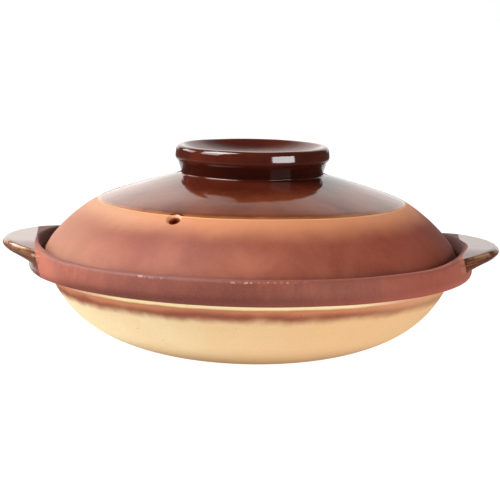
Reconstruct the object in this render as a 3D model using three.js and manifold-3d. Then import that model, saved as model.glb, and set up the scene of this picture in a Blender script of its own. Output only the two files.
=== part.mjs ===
// Lidded clay rice pot: a shallow bowl with a collar and two ear handles, and a domed lid with a
// ring knob and a steam vent. Millimetres, +Z up. The origin is the centre of the foot, on the
// surface that the pot stands on. The ears lie along X, and the vent faces the front, -Y.

import * as THREE from "three";
import { mergeVertices } from "three/addons/utils/BufferGeometryUtils.js";
import Module from "manifold-3d";

const wasm = await Module();
wasm.setup();

// Fits between pieces
const lutingGap = 0.3; // slip joint between an ear and the collar it is stuck to
const glazeGap = 0.05; // between a coat of glaze and the clay under it
const lidPlay = 1.5; // lid rim to the wall of the gallery, all round

// Lid
const lidRadius = 119.6;
const lidHeight = 48.6; // seat to the flat that carries the knob
const lidWall = 6;
const lidRimWidth = 8; // flat underside of the rim
const lidRimHeight = 3.1; // upright edge of the rim
const lidEdgeRound = 1.6;
const shoulderRadius = 88.8; // ring where crown meets skirt and the glaze ends
const shoulderHeight = 34.2; // above the seat
const shoulderSlope = 0.4; // fall over run at the shoulder
const crownReach = 15; // how far the crown keeps its slope at the knob
const crownDrop = 4.4; // and how far it falls in that reach
const crownPull = 15; // how long the crown keeps the shoulder's slope
const skirtPull = 8.3; // and how long the skirt keeps it
const skirtReach = 2.5; // the skirt's last run into the rim
const skirtDrop = 11.1;

// Steam vent, square to the skirt just outside the glaze
const ventRadius = 2.75;
const ventMargin = 0.5; // clay left between the vent and the glaze
const ventTurn = THREE.MathUtils.degToRad(27); // left of the front

// Knob
const knobBaseRadius = 43;
const knobWaistRadius = 42.2;
const knobRadius = 44.9;
const knobHeight = 17.6;
const knobWaistHeight = 3.4;
const knobLipHeight = 7.3; // underside of the flange
const knobBulgeHeight = 9.4; // widest point of the flange
const knobBandReach = 6.5; // how far its face stays upright above that
const knobCrestRadius = 41.4;
const knobCrestReach = 1.6; // and how far the crest stays level
const knobDishDepth = 8.4;
const knobSeatMargin = 0.4; // flat left on the crown round the knob

// Bowl
const footRadius = 41;
const footWidth = 9;
const footRecess = 1.5;
const wall = 7;
const neckHeight = 45; // where the wall runs into the collar
const overhang = 13.8; // collar beyond the wall
const bellyReach = 44; // the curve's run out of the foot
const bellyRise = 6;
const wallReach = 10.3; // and its run into the collar
const wallRise = 23.4;

// Collar and gallery
const collarThickness = 8.3; // at its widest, low down
const collarHeight = 16;
const collarLift = 3.2; // rise of its underside towards the edge
const collarRound = 4.6;
const rimThickness = 5.6;
const rimRound = 1.8;
const galleryDepth = 7.3; // rim to the ledge that carries the lid
const mouthRound = 2.4; // inner edge of that ledge

// Ears
const earReach = 14.6; // beyond the widest ring of the collar
const earRadius = 64; // of the round outline
const earRise = 4.3; // above the rim
const earEdge = 6.4; // thickness at the tip
const earEdgeRound = 1.8; // under the edge
const earTopRound = 3.6;
const earRoot = 13; // thickness against the collar, in the middle
const earEndRoot = 9; // and at the two ends
const earEnd = 2; // reach left at the two ends
const swellLevel = 28; // the rim is level with the ear as far as this from its middle
const swellEnd = 84; // and plain again from here

// Glaze
const glazeThickness = 0.5;
const bareRim = 2; // rim of the bowl left unglazed inside
const bareLidEdge = 3; // lid rim left unglazed underneath

// Facets
const potSegments = 44;
const earSteps = 24;
const ventSegments = 20;
const longSteps = 7; // in the long curve of the wall
const midSteps = 5; // in the curves of the lid
const cornerSteps = 2; // in a rounded corner
const weld = 1e-4;

const glazeFace = glazeGap + glazeThickness;
const galleryRadius = lidRadius + lidPlay;
const collarRadius = galleryRadius + collarThickness;
const neckRadius = collarRadius - overhang;
const rimRadius = galleryRadius + rimThickness;
const rimHeight = neckHeight + collarHeight;
const galleryHeight = rimHeight - galleryDepth;
const seatHeight = galleryHeight + glazeFace;
const earCentre = collarRadius + earReach - earRadius;
const earTop = rimHeight + earRise;
const knobSeatRadius = knobBaseRadius + knobSeatMargin;
const ventDistance = shoulderRadius + ventRadius + ventMargin;

// Points of a profile: radius from the turning axis, then height.
function at(radius, height) {
  return new THREE.Vector2(radius, height);
}

// A corner of a profile, with the length of edge that its rounding takes on each side.
function corner(radius, height, round = 0) {
  return { point: at(radius, height), round };
}

function roundCorners(corners) {
  return corners.flatMap(({ point, round }, i) => {
    if (!round) return [point];
    const before = corners[i - 1].point.clone().sub(point).setLength(round).add(point);
    const after = corners[i + 1].point.clone().sub(point).setLength(round).add(point);
    return new THREE.QuadraticBezierCurve(before, point, after).getPoints(cornerSteps);
  });
}

// A smooth run between two points, with the vectors that it leaves and arrives along.
function sweep(from, leave, arrive, to, steps) {
  const first = from.clone().add(leave);
  const second = to.clone().sub(arrive);
  return new THREE.CubicBezierCurve(from, first, second, to).getPoints(steps);
}

// The same run moved to its left by a distance, mitred at the corners.
function offset(run, distance) {
  const normals = run.slice(1).map((point, i) => {
    const along = point.clone().sub(run[i]).normalize();
    return at(-along.y, along.x);
  });
  return run.map((point, i) => {
    const one = normals[Math.max(i - 1, 0)];
    const two = normals[Math.min(i, normals.length - 1)];
    const mitre = one.clone().add(two).multiplyScalar(distance / (1 + one.dot(two)));
    return point.clone().add(mitre);
  });
}

// A skin between two offsets of a run that goes outwards from the axis, lower face first.
function skin(run, low, high) {
  const lower = offset(run, low);
  const upper = offset(run, high).reverse();
  const closing = run[0].x > 0 ? [lower[0].clone()] : [];
  return [...lower, ...upper, ...closing];
}

function turned(profile, segments = potSegments) {
  return new THREE.LatheGeometry(profile, segments).rotateX(Math.PI / 2);
}

function solidOf(geometry) {
  const bare = geometry.clone();
  bare.deleteAttribute("normal");
  bare.deleteAttribute("uv");
  const merged = mergeVertices(bare, weld);
  const vertProperties = merged.attributes.position.array;
  const triVerts = new Uint32Array(merged.index.array);
  return new wasm.Manifold(new wasm.Mesh({ numProp: 3, vertProperties, triVerts }));
}

function geometryOf(solid) {
  const mesh = solid.getMesh();
  const geometry = new THREE.BufferGeometry();
  geometry.setAttribute("position", new THREE.BufferAttribute(mesh.vertProperties, mesh.numProp));
  geometry.setIndex(new THREE.BufferAttribute(mesh.triVerts, 1));
  geometry.computeVertexNormals();
  return geometry;
}

function cut(geometry, tool) {
  return geometryOf(solidOf(geometry).subtract(solidOf(tool)));
}

// A closed solid through a row of convex sections, each with the same count of points.
function loft(sections) {
  const size = sections[0].length;
  const last = (sections.length - 1) * size;
  const faces = [];
  for (let a = 0; a < last; a += 1) {
    const b = a % size === size - 1 ? a + 1 - size : a + 1;
    faces.push(a, a + size, b + size, a, b + size, b);
  }
  for (let a = 1; a < size - 1; a += 1) {
    faces.push(0, a, a + 1, last, last + a + 1, last + a);
  }
  const geometry = new THREE.BufferGeometry().setFromPoints(sections.flat());
  geometry.setIndex(faces);
  geometry.computeVertexNormals();
  return geometry;
}

// Bowl: the wall is one long curve from the foot to the collar, and its inside runs parallel.
const foot = at(footRadius, 0);
const neck = at(neckRadius, neckHeight);
const wallOutside = sweep(foot, at(bellyReach, bellyRise), at(wallReach, wallRise), neck, longSteps);
const wallInside = offset(wallOutside, wall);
const floorHeight = wallInside[0].y;
const mouthRadius = wallInside.at(-1).x;
const rimMiddle = galleryRadius + rimThickness / 2;
const collarOutside = roundCorners([
  corner(neckRadius, neckHeight),
  corner(collarRadius, neckHeight + collarLift, collarRound),
  corner(rimRadius, rimHeight, rimRound),
  corner(rimMiddle, rimHeight),
]);
const galleryInside = roundCorners([
  corner(mouthRadius, wallInside.at(-1).y),
  corner(mouthRadius, galleryHeight, mouthRound),
  corner(galleryRadius, galleryHeight, rimRound),
  corner(galleryRadius, rimHeight - bareRim),
]);
const rimInside = roundCorners([
  corner(galleryRadius, rimHeight - bareRim),
  corner(galleryRadius, rimHeight, rimRound),
  corner(rimMiddle, rimHeight),
]);

function bowlGeometry() {
  const recessRadius = footRadius - footWidth;
  const under = [at(0, footRecess), at(recessRadius - footRecess, footRecess), at(recessRadius, 0)];
  const inside = [at(0, floorHeight), ...wallInside, ...galleryInside.slice(1), ...rimInside.slice(1)];
  const outside = [...wallOutside, ...collarOutside.slice(1, -1)];
  const geometry = turned([...under, ...outside, ...inside.reverse()]);
  const spots = geometry.attributes.position;
  for (let i = 0; i < spots.count; i += 1) {
    const height = spots.getZ(i);
    const onRim = height > rimHeight - rimRound - weld;
    if (onRim) spots.setZ(i, height + swellAt(spots.getY(i)));
  }
  geometry.computeVertexNormals();
  return geometry;
}

// The rim swells up to the height of each ear, by this much at a distance from the ear's middle.
function swellAt(distance) {
  return earRise * (1 - THREE.MathUtils.smoothstep(Math.abs(distance), swellLevel, swellEnd));
}

function bowlLiningGeometry() {
  const run = [at(0, floorHeight), ...wallInside, ...galleryInside.slice(1)];
  return turned(skin(run, glazeGap, glazeFace));
}

// Ear: a loft along the collar, through sections that reach out to a round outline.
function earGeometry() {
  const endRadius = collarRadius + earEnd;
  const endTurn = Math.acos(
    (endRadius ** 2 + earCentre ** 2 - earRadius ** 2) / (2 * endRadius * earCentre),
  );
  const sections = [];
  for (let i = 0; i <= earSteps; i += 1) {
    const turn = THREE.MathUtils.lerp(-endTurn, endTurn, i / earSteps);
    const depth = Math.sqrt(earRadius ** 2 - (earCentre * Math.sin(turn)) ** 2);
    const section = earSection(earCentre * Math.cos(turn) + depth);
    sections.push(section.map(({ x, y }) => new THREE.Vector3(x * Math.cos(turn), x * Math.sin(turn), y)));
  }
  return loft(sections);
}

// A section of the ear out to a radius: thicker at the root the further it reaches.
function earSection(edge) {
  const reach = edge - collarRadius;
  const under = earTop - earEdge;
  const root = earTop - THREE.MathUtils.mapLinear(reach, earEnd, earReach, earEndRoot, earRoot);
  const collarFoot = neckHeight + collarLift;
  const lean = (collarRadius - rimRadius) / (earTop - collarFoot);
  const round = Math.min(earEdgeRound, reach / 2);
  return roundCorners([
    corner(collarRadius + lutingGap - lean * (root - collarFoot), root),
    corner(edge - round, under, round / 2),
    corner(edge, under + round, round / 2),
    corner(edge, earTop, Math.min(earTopRound, reach / 2)),
    corner(rimRadius + lutingGap, earTop),
  ]);
}

// Lid: heights are above its seat. The crown and the skirt meet at the shoulder with one slope.
const shoulder = at(shoulderRadius, shoulderHeight);
const shoulderRun = at(1, -shoulderSlope).normalize();
const crown = sweep(at(knobSeatRadius, lidHeight), at(crownReach, -crownDrop),
  shoulderRun.clone().multiplyScalar(crownPull), shoulder, midSteps);
const skirt = sweep(shoulder, shoulderRun.clone().multiplyScalar(skirtPull),
  at(skirtReach, -skirtDrop), at(lidRadius, lidRimHeight), midSteps);
const lidOutside = [...crown, ...skirt.slice(1)];
const lidRimInside = lidRadius - lidRimWidth;
const dome = offset(lidOutside, -lidWall).filter((point) => point.x < lidRimInside - lidEdgeRound);
const lidInside = [at(0, dome[0].y), ...dome];

// The vent's drill: a cylinder through the skirt, square to its surface.
function ventGeometry() {
  const next = lidOutside.findIndex((point) => point.x > ventDistance);
  const [inner, outer] = [lidOutside[next - 1], lidOutside[next]];
  const share = (ventDistance - inner.x) / (outer.x - inner.x);
  const height = THREE.MathUtils.lerp(inner.y, outer.y, share);
  const tilt = Math.atan2(inner.y - outer.y, outer.x - inner.x);
  const drill = new THREE.CylinderGeometry(ventRadius, ventRadius, lidWall * 4, ventSegments);
  return drill
    .rotateX(Math.PI / 2)
    .rotateX(tilt)
    .translate(0, -ventDistance, height)
    .rotateZ(-ventTurn);
}

function lidGeometry() {
  const rim = roundCorners([
    corner(...dome.at(-1).toArray()),
    corner(lidRimInside, 0, lidEdgeRound),
    corner(lidRadius, 0, lidEdgeRound),
    corner(lidRadius, lidRimHeight),
  ]);
  const outside = [...lidOutside].reverse();
  const profile = [...lidInside, ...rim.slice(1), ...outside.slice(1), at(0, lidHeight)];
  return cut(turned(profile), ventGeometry());
}

function crownGlazeGeometry() {
  return turned(skin(crown, glazeGap, glazeFace));
}

function lidLiningGeometry() {
  const run = lidInside.filter((point) => point.x < lidRimInside - bareLidEdge);
  return cut(turned(skin(run, -glazeFace, -glazeGap)), ventGeometry());
}

// Knob: heights are above the flat of the crown.
function knobGeometry() {
  const waist = at(knobWaistRadius, knobWaistHeight);
  const lip = at(knobRadius - (knobRadius - knobWaistRadius) / 3, knobLipHeight);
  const bulge = at(knobRadius, knobBulgeHeight);
  const crest = at(knobCrestRadius, knobHeight);
  const side = new THREE.SplineCurve([at(knobBaseRadius, 0), waist, lip, bulge]).getPoints(2 * midSteps);
  const edge = sweep(bulge, at(0, knobBandReach), at(-knobCrestReach, 0), crest, midSteps);
  const floor = at(0, knobHeight - knobDishDepth);
  const dish = sweep(crest, at(-knobCrestRadius / 3, -knobDishDepth / 3),
    at(-knobCrestRadius / 3, 0), floor, midSteps);
  return turned([at(0, 0), ...side, ...edge.slice(1), ...dish.slice(1)]);
}

function clay(color) {
  return new THREE.MeshStandardMaterial({ color, roughness: 0.85, metalness: 0 });
}

function brownGlaze() {
  return new THREE.MeshStandardMaterial({ color: 0x50261c, roughness: 0.12, metalness: 0 });
}

function piece(name, geometry, material) {
  const mesh = new THREE.Mesh(geometry, material);
  mesh.name = name;
  return mesh;
}

const vessel = new THREE.Group();
vessel.add(piece("bowl", bowlGeometry(), clay(0xe2bd8e)));
vessel.add(piece("bowl_lining_glaze", bowlLiningGeometry(), brownGlaze()));
vessel.add(piece("right_handle", earGeometry(), brownGlaze()));
const leftHandle = piece("left_handle", earGeometry(), brownGlaze());
leftHandle.rotation.z = Math.PI;
vessel.add(leftHandle);

const cover = new THREE.Group();
cover.position.z = seatHeight;
cover.add(piece("lid", lidGeometry(), clay(0xa8624e)));
cover.add(piece("lid_crown_glaze", crownGlazeGeometry(), brownGlaze()));
cover.add(piece("lid_lining_glaze", lidLiningGeometry(), brownGlaze()));
const knob = piece("lid_knob", knobGeometry(), brownGlaze());
knob.position.z = lidHeight;
cover.add(knob);

const pot = new THREE.Group();
pot.add(vessel, cover);

export default pot;
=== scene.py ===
# %% [markdown]
# # A lidded clay rice pot
#
# The real pot is clay that was thrown on a wheel: a shallow bowl with a collar, and a domed lid
# with a ring knob. Two ears are pressed by hand and stuck on. Brown glaze covers the inside, the
# ears, the knob and the crown of the lid, and the rest is bare clay that the fire has coloured.
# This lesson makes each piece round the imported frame, in metres, in the frame's own place, so
# nothing is fitted afterwards.

# %% Load the frame
import math

import bmesh
import bpy
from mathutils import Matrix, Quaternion, Vector
from mathutils.geometry import interpolate_bezier


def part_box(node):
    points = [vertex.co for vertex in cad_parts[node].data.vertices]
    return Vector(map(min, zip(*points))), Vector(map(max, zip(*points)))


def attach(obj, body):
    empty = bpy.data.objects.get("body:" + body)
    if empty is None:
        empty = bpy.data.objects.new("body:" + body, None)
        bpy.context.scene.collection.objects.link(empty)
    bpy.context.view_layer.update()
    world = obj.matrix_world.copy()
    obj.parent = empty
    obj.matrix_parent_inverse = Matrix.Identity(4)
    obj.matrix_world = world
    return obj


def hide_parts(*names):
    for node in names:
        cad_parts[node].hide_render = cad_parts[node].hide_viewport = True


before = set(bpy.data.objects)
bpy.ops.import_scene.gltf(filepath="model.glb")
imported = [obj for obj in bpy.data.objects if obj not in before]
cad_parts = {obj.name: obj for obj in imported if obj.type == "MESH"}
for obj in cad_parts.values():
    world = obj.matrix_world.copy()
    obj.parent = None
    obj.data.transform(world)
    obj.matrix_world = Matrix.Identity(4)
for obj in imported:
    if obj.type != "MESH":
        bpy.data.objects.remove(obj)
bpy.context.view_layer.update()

# %% [markdown]
# ## The sizes that the pieces share
#
# Where a size can be read off the frame, it is: the lid's radius, its seat, the top of the ears.
# The shapes between those places are curves, and their handles are the few numbers written here. A
# length is written in millimetres and multiplied by mm, because Blender works in metres.

# %% Read the main sizes off the frame
mm = 0.001
lid_low, lid_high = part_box("lid")
knob_low, knob_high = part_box("lid_knob")
lining_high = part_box("bowl_lining_glaze")[1]
ear_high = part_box("right_handle")[1]

glaze_gap = 0.05 * mm
glaze_face = 0.55 * mm
bare_rim = 2 * mm
lid_radius = lid_high.x
seat = lid_low.z
gallery_radius = lining_high.x + glaze_gap
gallery_height = seat - glaze_face
rim_height = lining_high.z + bare_rim
rim_radius = gallery_radius + 5.6 * mm
collar_radius = gallery_radius + 8 * mm
collar_foot = 48.2 * mm
ear_top = ear_high.z
print(f"Lid {2000 * lid_radius:.1f} mm across, seat at {1000 * seat:.2f} mm")
print(f"Rim at {1000 * rim_height:.1f} mm, top of the ears at {1000 * ear_top:.1f} mm")

# %% [markdown]
# ## Drawing a profile
#
# A potter shapes a turned piece by its profile, and so does this script. A profile is a list of
# points, each a radius and a height. Small helpers make them: a point, a smooth curve between two
# points, a run of corners that may be rounded, a copy of a run moved sideways, which gives a wall
# its thickness, and a thin coat along a run.


# %% Helpers for profiles
corner_pull = 0.6
coat_edge = 0.16


def at(radius, height):
    return Vector((radius, height))


def curve(start, leave, arrive, end, steps):
    """A smooth run that leaves the start along one vector and arrives at the end along another."""
    return interpolate_bezier(start, start + leave, end - arrive, end, steps + 1)


def rounded(*corners, steps=7):
    """A run through corners. A third number rounds a corner, and is how much of each edge it takes."""
    points = [at(*corner[:2]) for corner in corners]
    run = []
    for i, corner in enumerate(corners):
        if len(corner) == 2:
            run.append(points[i])
            continue
        here, cut = points[i], corner[2]
        before = here + (points[i - 1] - here).normalized() * cut
        after = here + (points[i + 1] - here).normalized() * cut
        handles = before.lerp(here, corner_pull), after.lerp(here, corner_pull)
        run += interpolate_bezier(before, *handles, after, steps)
    return run


def ease(value, low, high):
    """0 below low, 1 above high, and a smooth step between."""
    share = min(max((value - low) / (high - low), 0), 1)
    return share * share * (3 - 2 * share)


def beside(run, *distances):
    """The run moved to its left by a distance, or by one for each point, and mitred at its corners."""
    sides = [Vector((a.y - b.y, b.x - a.x)).normalized() for a, b in zip(run, run[1:])]
    moved = []
    for i, point in enumerate(run):
        one, two = sides[max(i - 1, 0)], sides[min(i, len(sides) - 1)]
        distance = distances[min(i, len(distances) - 1)]
        moved.append(point + (one + two) * (distance / (1 + one.dot(two))))
    return moved


def coat(run, low, high, feather):
    """A closed profile between two distances from a run that goes outwards, thinning out at its end."""
    tops = []
    for point in run:
        off_end = math.sqrt(ease((run[-1] - point).length, 0, feather))
        tops.append(low + (high - low) * (coat_edge + (1 - coat_edge) * off_end))
    closing = [beside(run, low)[0]] if run[0].x > 0 else []
    return beside(run, low) + beside(run, *tops)[::-1] + closing


print("Ready to draw profiles")

# %% [markdown]
# ## Turning the wheel
#
# A turned piece starts as a small plane that is melted to a single corner. Extruding that corner
# from point to point draws the profile, and Spin carries the profile round the axis. Spin leaves a
# double row of points where it closes and a heap of them on the axis, so doubles are merged, and
# then the faces are turned to look outwards. A Screw modifier would also do, but Spin leaves plain
# geometry that the next steps can select.


# %% Helpers that draw a profile and throw it on the wheel
wheel_steps = 180
merge_distance = 0.002 * mm
smooth_angle = math.radians(40)


def pick(test):
    """In edit mode, selects only the corners of the active mesh whose place passes a test."""
    bpy.ops.mesh.select_all(action="DESELECT")
    mesh = bmesh.from_edit_mesh(bpy.context.object.data)
    for vertex in mesh.verts:
        vertex.select = test(vertex.co)
    mesh.select_flush(True)
    bmesh.update_edit_mesh(bpy.context.object.data)


def draw(name, profile):
    """Draws a profile in the X-Z plane by extruding one corner on and on, and stays in edit mode."""
    bpy.ops.object.select_all(action="DESELECT")
    bpy.ops.mesh.primitive_plane_add(size=mm, location=(0, 0, 0))
    piece = bpy.context.object
    piece.name = piece.data.name = name
    bpy.ops.object.mode_set(mode="EDIT")
    bpy.ops.mesh.select_all(action="SELECT")
    bpy.ops.mesh.merge(type="CENTER")
    bpy.ops.transform.translate(value=(profile[0].x, 0, profile[0].y))
    for here, there in zip(profile, profile[1:]):
        step = there - here
        bpy.ops.mesh.extrude_vertices_move(TRANSFORM_OT_translate={"value": (step.x, 0, step.y)})
    return piece


def only(piece):
    """Makes a piece the one that is selected and active."""
    bpy.ops.object.select_all(action="DESELECT")
    bpy.context.view_layer.objects.active = piece
    piece.select_set(True)


def close_up(piece):
    """Merges doubles, turns the faces outwards, leaves edit mode and smooths the shading."""
    bpy.ops.mesh.select_all(action="SELECT")
    bpy.ops.mesh.remove_doubles(threshold=merge_distance)
    bpy.ops.mesh.normals_make_consistent(inside=False)
    bpy.ops.object.mode_set(mode="OBJECT")
    bpy.ops.object.shade_smooth_by_angle(angle=smooth_angle)
    print(f"{piece.name}: {len(piece.data.polygons)} faces")


def throw(name, profile, steps=wheel_steps):
    """A turned piece: a profile, spun once round the pot's axis."""
    piece = draw(name, profile)
    bpy.ops.mesh.select_all(action="SELECT")
    bpy.ops.mesh.spin(steps=steps, angle=math.tau, center=(0, 0, 0), axis=(0, 0, 1))
    close_up(piece)
    return piece


print(f"The wheel turns in {wheel_steps} steps")

# %% [markdown]
# ## The bowl
#
# The bowl is one thrown piece. Its wall is a long curve from a narrow foot to the neck, where the
# collar juts out. Inside the collar a ledge, the gallery, carries the lid. The inside of the wall
# is the outside moved in by the wall's thickness, so the two stay parallel as in a well-thrown pot.

# %% Throw the bowl
foot_radius = 41 * mm
recess_radius = 32 * mm
foot_recess = 1.5 * mm
wall = 7 * mm
neck = at(115.6, 45) * mm
rim_middle = (gallery_radius + rim_radius) / 2
rim_round = 1.8 * mm

wall_outside = curve(at(foot_radius, 0), at(44, 6) * mm, at(10.3, 23.4) * mm, neck, 30)
wall_inside = beside(wall_outside, wall)
mouth_radius = wall_inside[-1].x
underside = [at(0, foot_recess), at(recess_radius - foot_recess, foot_recess), at(recess_radius, 0)]
foot_edge = rounded((recess_radius, 0), (foot_radius, 0, 0.8 * mm), wall_outside[1])[1:-1]
collar_outside = rounded(
    neck,
    (collar_radius, collar_foot, 4.6 * mm),
    (rim_radius, rim_height, rim_round),
    (rim_middle, rim_height),
)
gallery_inside = rounded(
    (mouth_radius, wall_inside[-1].y),
    (mouth_radius, gallery_height, 2.4 * mm),
    (gallery_radius, gallery_height, rim_round),
    (gallery_radius, rim_height - bare_rim),
)
rim_inside = rounded(
    (gallery_radius, rim_height - bare_rim),
    (gallery_radius, rim_height, rim_round),
    (rim_middle, rim_height),
)
bowl_inside = [at(0, wall_inside[0].y)] + wall_inside + gallery_inside[1:]
bowl_outside = foot_edge + wall_outside[1:] + collar_outside[1:-1]
bowl_profile = underside + bowl_outside + (bowl_inside + rim_inside[1:])[::-1]
thrown_bowl = throw("thrown_bowl", bowl_profile)

# %% [markdown]
# ## The rim swells up to the ears
#
# When the ears were stuck on, the rim was pulled up to meet them, and it runs back to its plain
# height on both sides. That is a gentle push on part of a finished mesh, so it is done as a painter
# would: a weight on each corner of the rim says how far it may move, and a Displace modifier with
# no texture lifts them all at once. The inner edge of the rim gets less weight, so the inside of
# the swell leans back. On this pot the swell sits a little behind the ears' middle.

# %% Lift the rim at both ears
swell_level = 28 * mm
swell_end = 84 * mm
swell_back = 8 * mm


def weigh(piece, group_name, weight_at):
    """A vertex group whose weight at each corner is worked out from the corner's place."""
    group = piece.vertex_groups.new(name=group_name)
    for vertex in piece.data.vertices:
        group.add([vertex.index], weight_at(vertex.co), "REPLACE")


def near_ear(co):
    return 1 - ease(abs(co.y - swell_back), swell_level, swell_end)


def rim_weight(co):
    outwards = ease(math.hypot(co.x, co.y), gallery_radius - 0.1 * mm, rim_middle)
    upwards = ease(co.z, collar_foot + 4 * mm, rim_height - rim_round)
    return outwards * upwards * near_ear(co)


def lift_to_ears(piece, weight_at):
    """Lifts a piece, by its weights, from the plain rim to the height of the ears."""
    only(piece)
    weigh(piece, "lift", weight_at)
    lift = piece.modifiers.new("lift", "DISPLACE")
    lift.direction = "Z"
    lift.mid_level = 0
    lift.strength = ear_top - rim_height
    lift.vertex_group = "lift"
    bpy.ops.object.modifier_apply(modifier="lift")
    top = max(vertex.co.z for vertex in piece.data.vertices)
    print(f"{piece.name} now reaches {1000 * top:.1f} mm high")


lift_to_ears(thrown_bowl, rim_weight)

# %% [markdown]
# ## The ears
#
# Each ear is a half-moon of clay, pressed flat, thick at its root and with a soft edge. One slice
# is drawn and spun a little way round the pot's axis, which follows the collar. Each slice is then
# drawn in to the round outline with Resize. The collar leans, so the slice's lower edge, its face
# and its upper edge each have a hinge of their own on the collar, and both ends of the ear run out
# into it. The root is sunk, as stuck clay is. The ear is shaped at the height of the plain rim, and
# is lifted later.

# %% Sizes and outline of an ear
box_margin = 0.1 * mm
ear_tip = ear_high.x - box_margin
ear_radius = 64 * mm
ear_centre = ear_tip - ear_radius
ear_edge = 5.7 * mm
ear_under = rim_height - ear_edge
ear_root = 13 * mm
ear_end_root = 9 * mm
ear_sink = 0.5 * mm
ear_steps = 72
edge_round = 1.8 * mm
top_round = 3.6 * mm


def ear_outline(turn):
    """How far the ear's round edge is from the pot's axis, at a turn from the ear's middle."""
    aside = ear_centre * math.sin(turn)
    return ear_centre * math.cos(turn) + math.sqrt(ear_radius**2 - aside**2)


def turn_of_outline(radius):
    """The turn from the ear's middle at which its outline has come in to a radius."""
    return math.acos((radius**2 + ear_centre**2 - ear_radius**2) / (2 * radius * ear_centre))


def collar_face(height):
    """The radius of the collar's leaning face at a height."""
    share = (height - collar_foot) / (rim_height - collar_foot)
    return collar_radius + (rim_radius - collar_radius) * share


print(f"An ear juts out {1000 * (ear_tip - collar_radius):.1f} mm from the collar")


# %% Shape the right ear
def draw_in(turn, share, half_step):
    """Draws the slice at a turn in to the ear's outline, and thins its root."""
    far = 1
    levels = (-far, ear_under + 0.55 * edge_round, rim_height - top_round, far)
    for low, high in zip(levels, levels[1:]):
        reach = collar_face(min(max((low + high) / 2, ear_under), rim_height)) - ear_sink
        hinge = (reach * math.cos(turn), reach * math.sin(turn), ear_under)
        pick(
            lambda co: abs(math.atan2(co.y, co.x) - turn) < half_step
            and math.hypot(co.x, co.y) > collar_radius + ear_sink
            and low < co.z <= high
        )
        bpy.ops.transform.resize(value=(share, share, 1), center_override=hinge)
    root = ear_end_root + (ear_root - ear_end_root) * share
    thinning = (root - ear_edge) / (ear_root - ear_edge)
    pick(lambda co: abs(math.atan2(co.y, co.x) - turn) < half_step and co.z < ear_under)
    bpy.ops.transform.resize(value=(1, 1, thinning), center_override=(0, 0, ear_under))


def shape_ear(name):
    root = rim_height - ear_root
    section = rounded(
        (collar_face(root) - 4 * ear_sink, root),
        (ear_tip - edge_round, ear_under, 0.6 * edge_round),
        (ear_tip, ear_under + edge_round, edge_round / 2),
        (ear_tip, rim_height, top_round),
        (ear_tip - top_round - 1.2 * mm, rim_height - 0.03 * mm),
        (rim_middle + ear_sink, rim_height - 0.1 * mm),
    )
    ear = draw(name, section + section[:1])
    bpy.ops.mesh.select_all(action="SELECT")
    bpy.ops.mesh.remove_doubles(threshold=merge_distance)
    bpy.ops.mesh.edge_face_add()
    end_turn = turn_of_outline(collar_radius + ear_sink / 10)
    bpy.ops.mesh.spin(steps=ear_steps, angle=2 * end_turn, center=(0, 0, 0), axis=(0, 0, 1))
    step = 2 * end_turn / ear_steps
    corners = bmesh.from_edit_mesh(ear.data).verts
    first = min(math.atan2(corner.co.y, corner.co.x) for corner in corners)
    for i in range(ear_steps + 1):
        share = (ear_outline(i * step - end_turn) - collar_radius) / (ear_tip - collar_radius)
        draw_in(first + i * step, share, step / 2)
    close_up(ear)
    ear.rotation_euler.z = -(first + end_turn)
    bpy.ops.object.transform_apply(location=False, rotation=True, scale=False)
    return ear


right_ear = shape_ear("right_ear")
ends = [vertex.co.y for vertex in right_ear.data.vertices]
print(f"The ear runs from {1000 * min(ends):.1f} to {1000 * max(ends):.1f} mm along the rim")

# %% [markdown]
# ## The other ear
#
# The left ear is a copy with its own mesh, turned by half a turn. Applying the turn puts it into
# the mesh, so the object itself stays unturned at the origin. Then both ears are lifted with the
# same weights as the rim.

# %% Copy it for the left side and lift both
bpy.ops.object.duplicate()
left_ear = bpy.context.object
left_ear.name = left_ear.data.name = "left_ear"
left_ear.rotation_euler.z = math.pi
bpy.ops.object.transform_apply(location=False, rotation=True, scale=False)
for ear in (right_ear, left_ear):
    lift_to_ears(ear, near_ear)

# %% [markdown]
# ## The glaze inside the bowl
#
# Glaze is a coat of glass about half a millimetre thick. It could be left to a material, but then
# its edge would be a painted line. As a thin turned piece it has a real edge that thins out where
# the brush stopped, below the rim.

# %% Pour the glaze into the bowl
brushed_feather = 1.5 * mm
lining_profile = coat(bowl_inside, glaze_gap, glaze_face, brushed_feather)
bowl_inner_glaze = throw("bowl_inner_glaze", lining_profile)

# %% [markdown]
# ## The lid
#
# The lid's crown and skirt meet at the shoulder with one slope, and the glaze ends there. The
# dome's inside is its outside moved in by the wall, and the two close in a thick rim that sits on
# the gallery.

# %% Throw the lid
lid_wall = 6 * mm
lid_top = lid_high.z
lid_rim_inside = lid_radius - 8 * mm
lid_edge_round = 1.6 * mm
knob_seat_radius = 43.4 * mm
shoulder = at(88.8 * mm, seat + 34.2 * mm)
shoulder_run = at(1, -0.4).normalized()

crown = curve(at(knob_seat_radius, lid_top), at(15, -4.4) * mm, shoulder_run * 15 * mm, shoulder, 26)
skirt_end = at(lid_radius, seat + 3.1 * mm)
skirt = curve(shoulder, shoulder_run * 8.3 * mm, at(2.5, -11.1) * mm, skirt_end, 26)
lid_outside = crown + skirt[1:]
dome_end = lid_rim_inside - lid_edge_round
dome = [point for point in beside(lid_outside, -lid_wall) if point.x < dome_end]
lid_inside = [at(0, dome[0].y)] + dome
lid_rim = rounded(
    dome[-1],
    (lid_rim_inside, seat, lid_edge_round),
    (lid_radius, seat, lid_edge_round),
    (*skirt_end, 1.2 * mm),
    skirt[-3],
)
lid_profile = lid_inside + lid_rim[1:-1] + lid_outside[-3::-1] + [at(0, lid_top)]
thrown_lid = throw("thrown_lid", lid_profile)

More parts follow.
